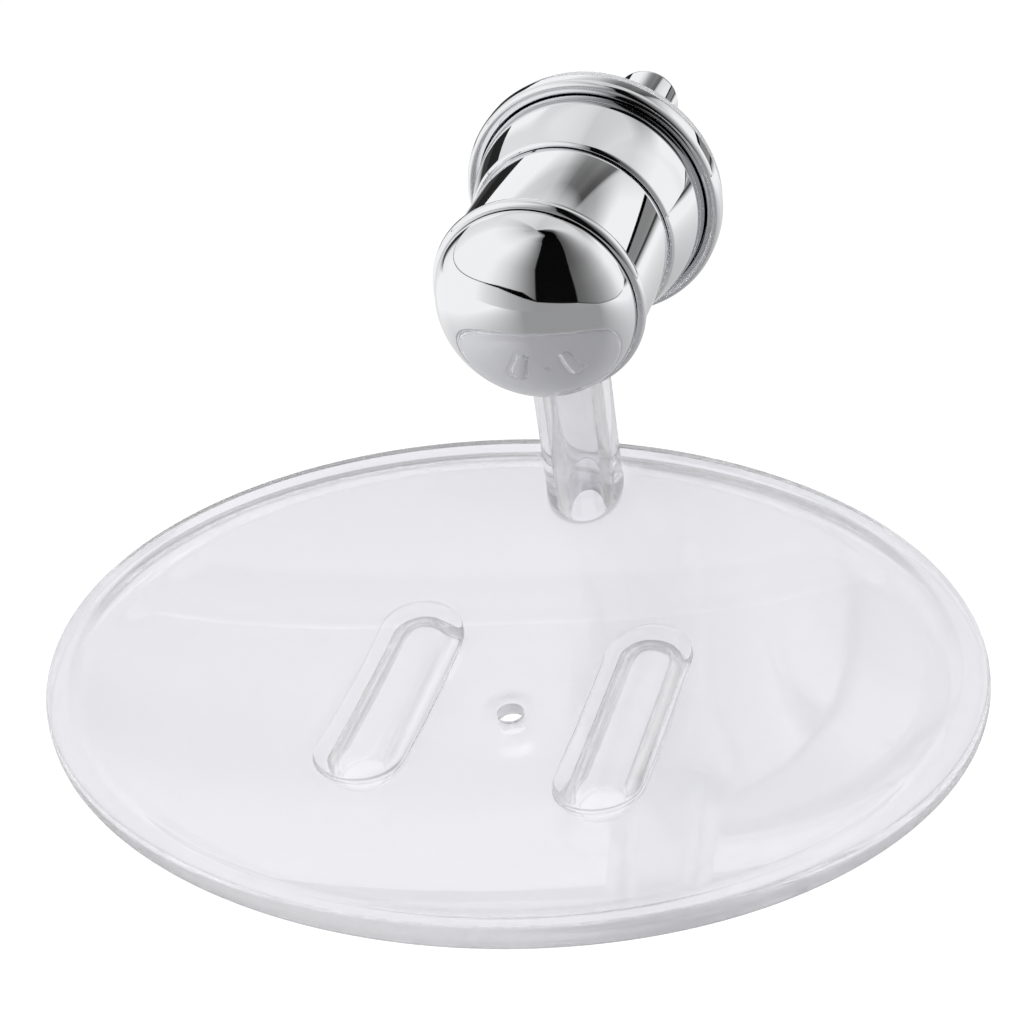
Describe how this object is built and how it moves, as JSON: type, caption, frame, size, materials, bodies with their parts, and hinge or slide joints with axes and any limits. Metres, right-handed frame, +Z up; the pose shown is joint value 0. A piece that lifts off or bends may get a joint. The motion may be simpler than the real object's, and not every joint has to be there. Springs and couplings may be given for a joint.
{
  "type": "wall-mounted soap dish",
  "caption": "Clear oval soap dish with two raised ribs on a clear peg, clamped in a chrome wall bracket with a domed knob.",
  "frame": {"origin": "centre of the wall face, on the bracket's axis", "axes": "+Z up, +Y into the wall, +X to the right when facing the wall"},
  "size_m": [0.14, 0.154, 0.0733],
  "materials": {
    "chrome": "polished chrome plate",
    "clear_acrylic": "clear polished acrylic",
    "clear_vinyl": "clear soft vinyl",
    "steel": "zinc-plated steel",
    "brass": "turned brass",
    "nylon": "natural nylon",
    "rubber": "black rubber"
  },
  "bodies": {
    "bracket": {"wall_gasket": "clear_vinyl", "wall_flange": "chrome", "bell_cover": "chrome", "bell_grub_screw": "steel", "wall_stud": "chrome", "stud_washer": "steel", "stud_spring_washer": "steel", "stud_nut": "steel", "neck_core": "brass", "neck_barrel": "chrome", "neck_collar": "chrome", "socket_ring": "rubber"},
    "pad": {"clamp_pad": "nylon"},
    "knob": {"knob_dome": "chrome", "clamp_screw": "steel"},
    "liner": {"socket_liner": "nylon"},
    "dish": {"dish_peg": "clear_acrylic", "dish_tray": "clear_acrylic"}
  },
  "joints": [
    {"name": "knob_slide", "type": "slide", "parent": "bracket", "child": "pad", "axis": [0, -1, 0], "range_m": [0, 0.00252]},
    {"name": "knob_turn", "type": "hinge", "parent": "pad", "child": "knob", "pos_m": [0, -0.035, 0], "axis": [0, -1, 0], "range_deg": [0, 720]},
    {"name": "dish_swivel", "type": "hinge", "parent": "bracket", "child": "liner", "pos_m": [0, -0.0244, -0.0156], "axis": [0, 0, 1], "range_deg": [-30, 30]},
    {"name": "dish_drop", "type": "slide", "parent": "liner", "child": "dish", "axis": [0, 0, -1], "range_m": [0, 0.03]}
  ],
  "couplings": [
    {"joint": "knob_slide", "follows": "knob_turn", "m_per_rad": 0.00019894}
  ]
}
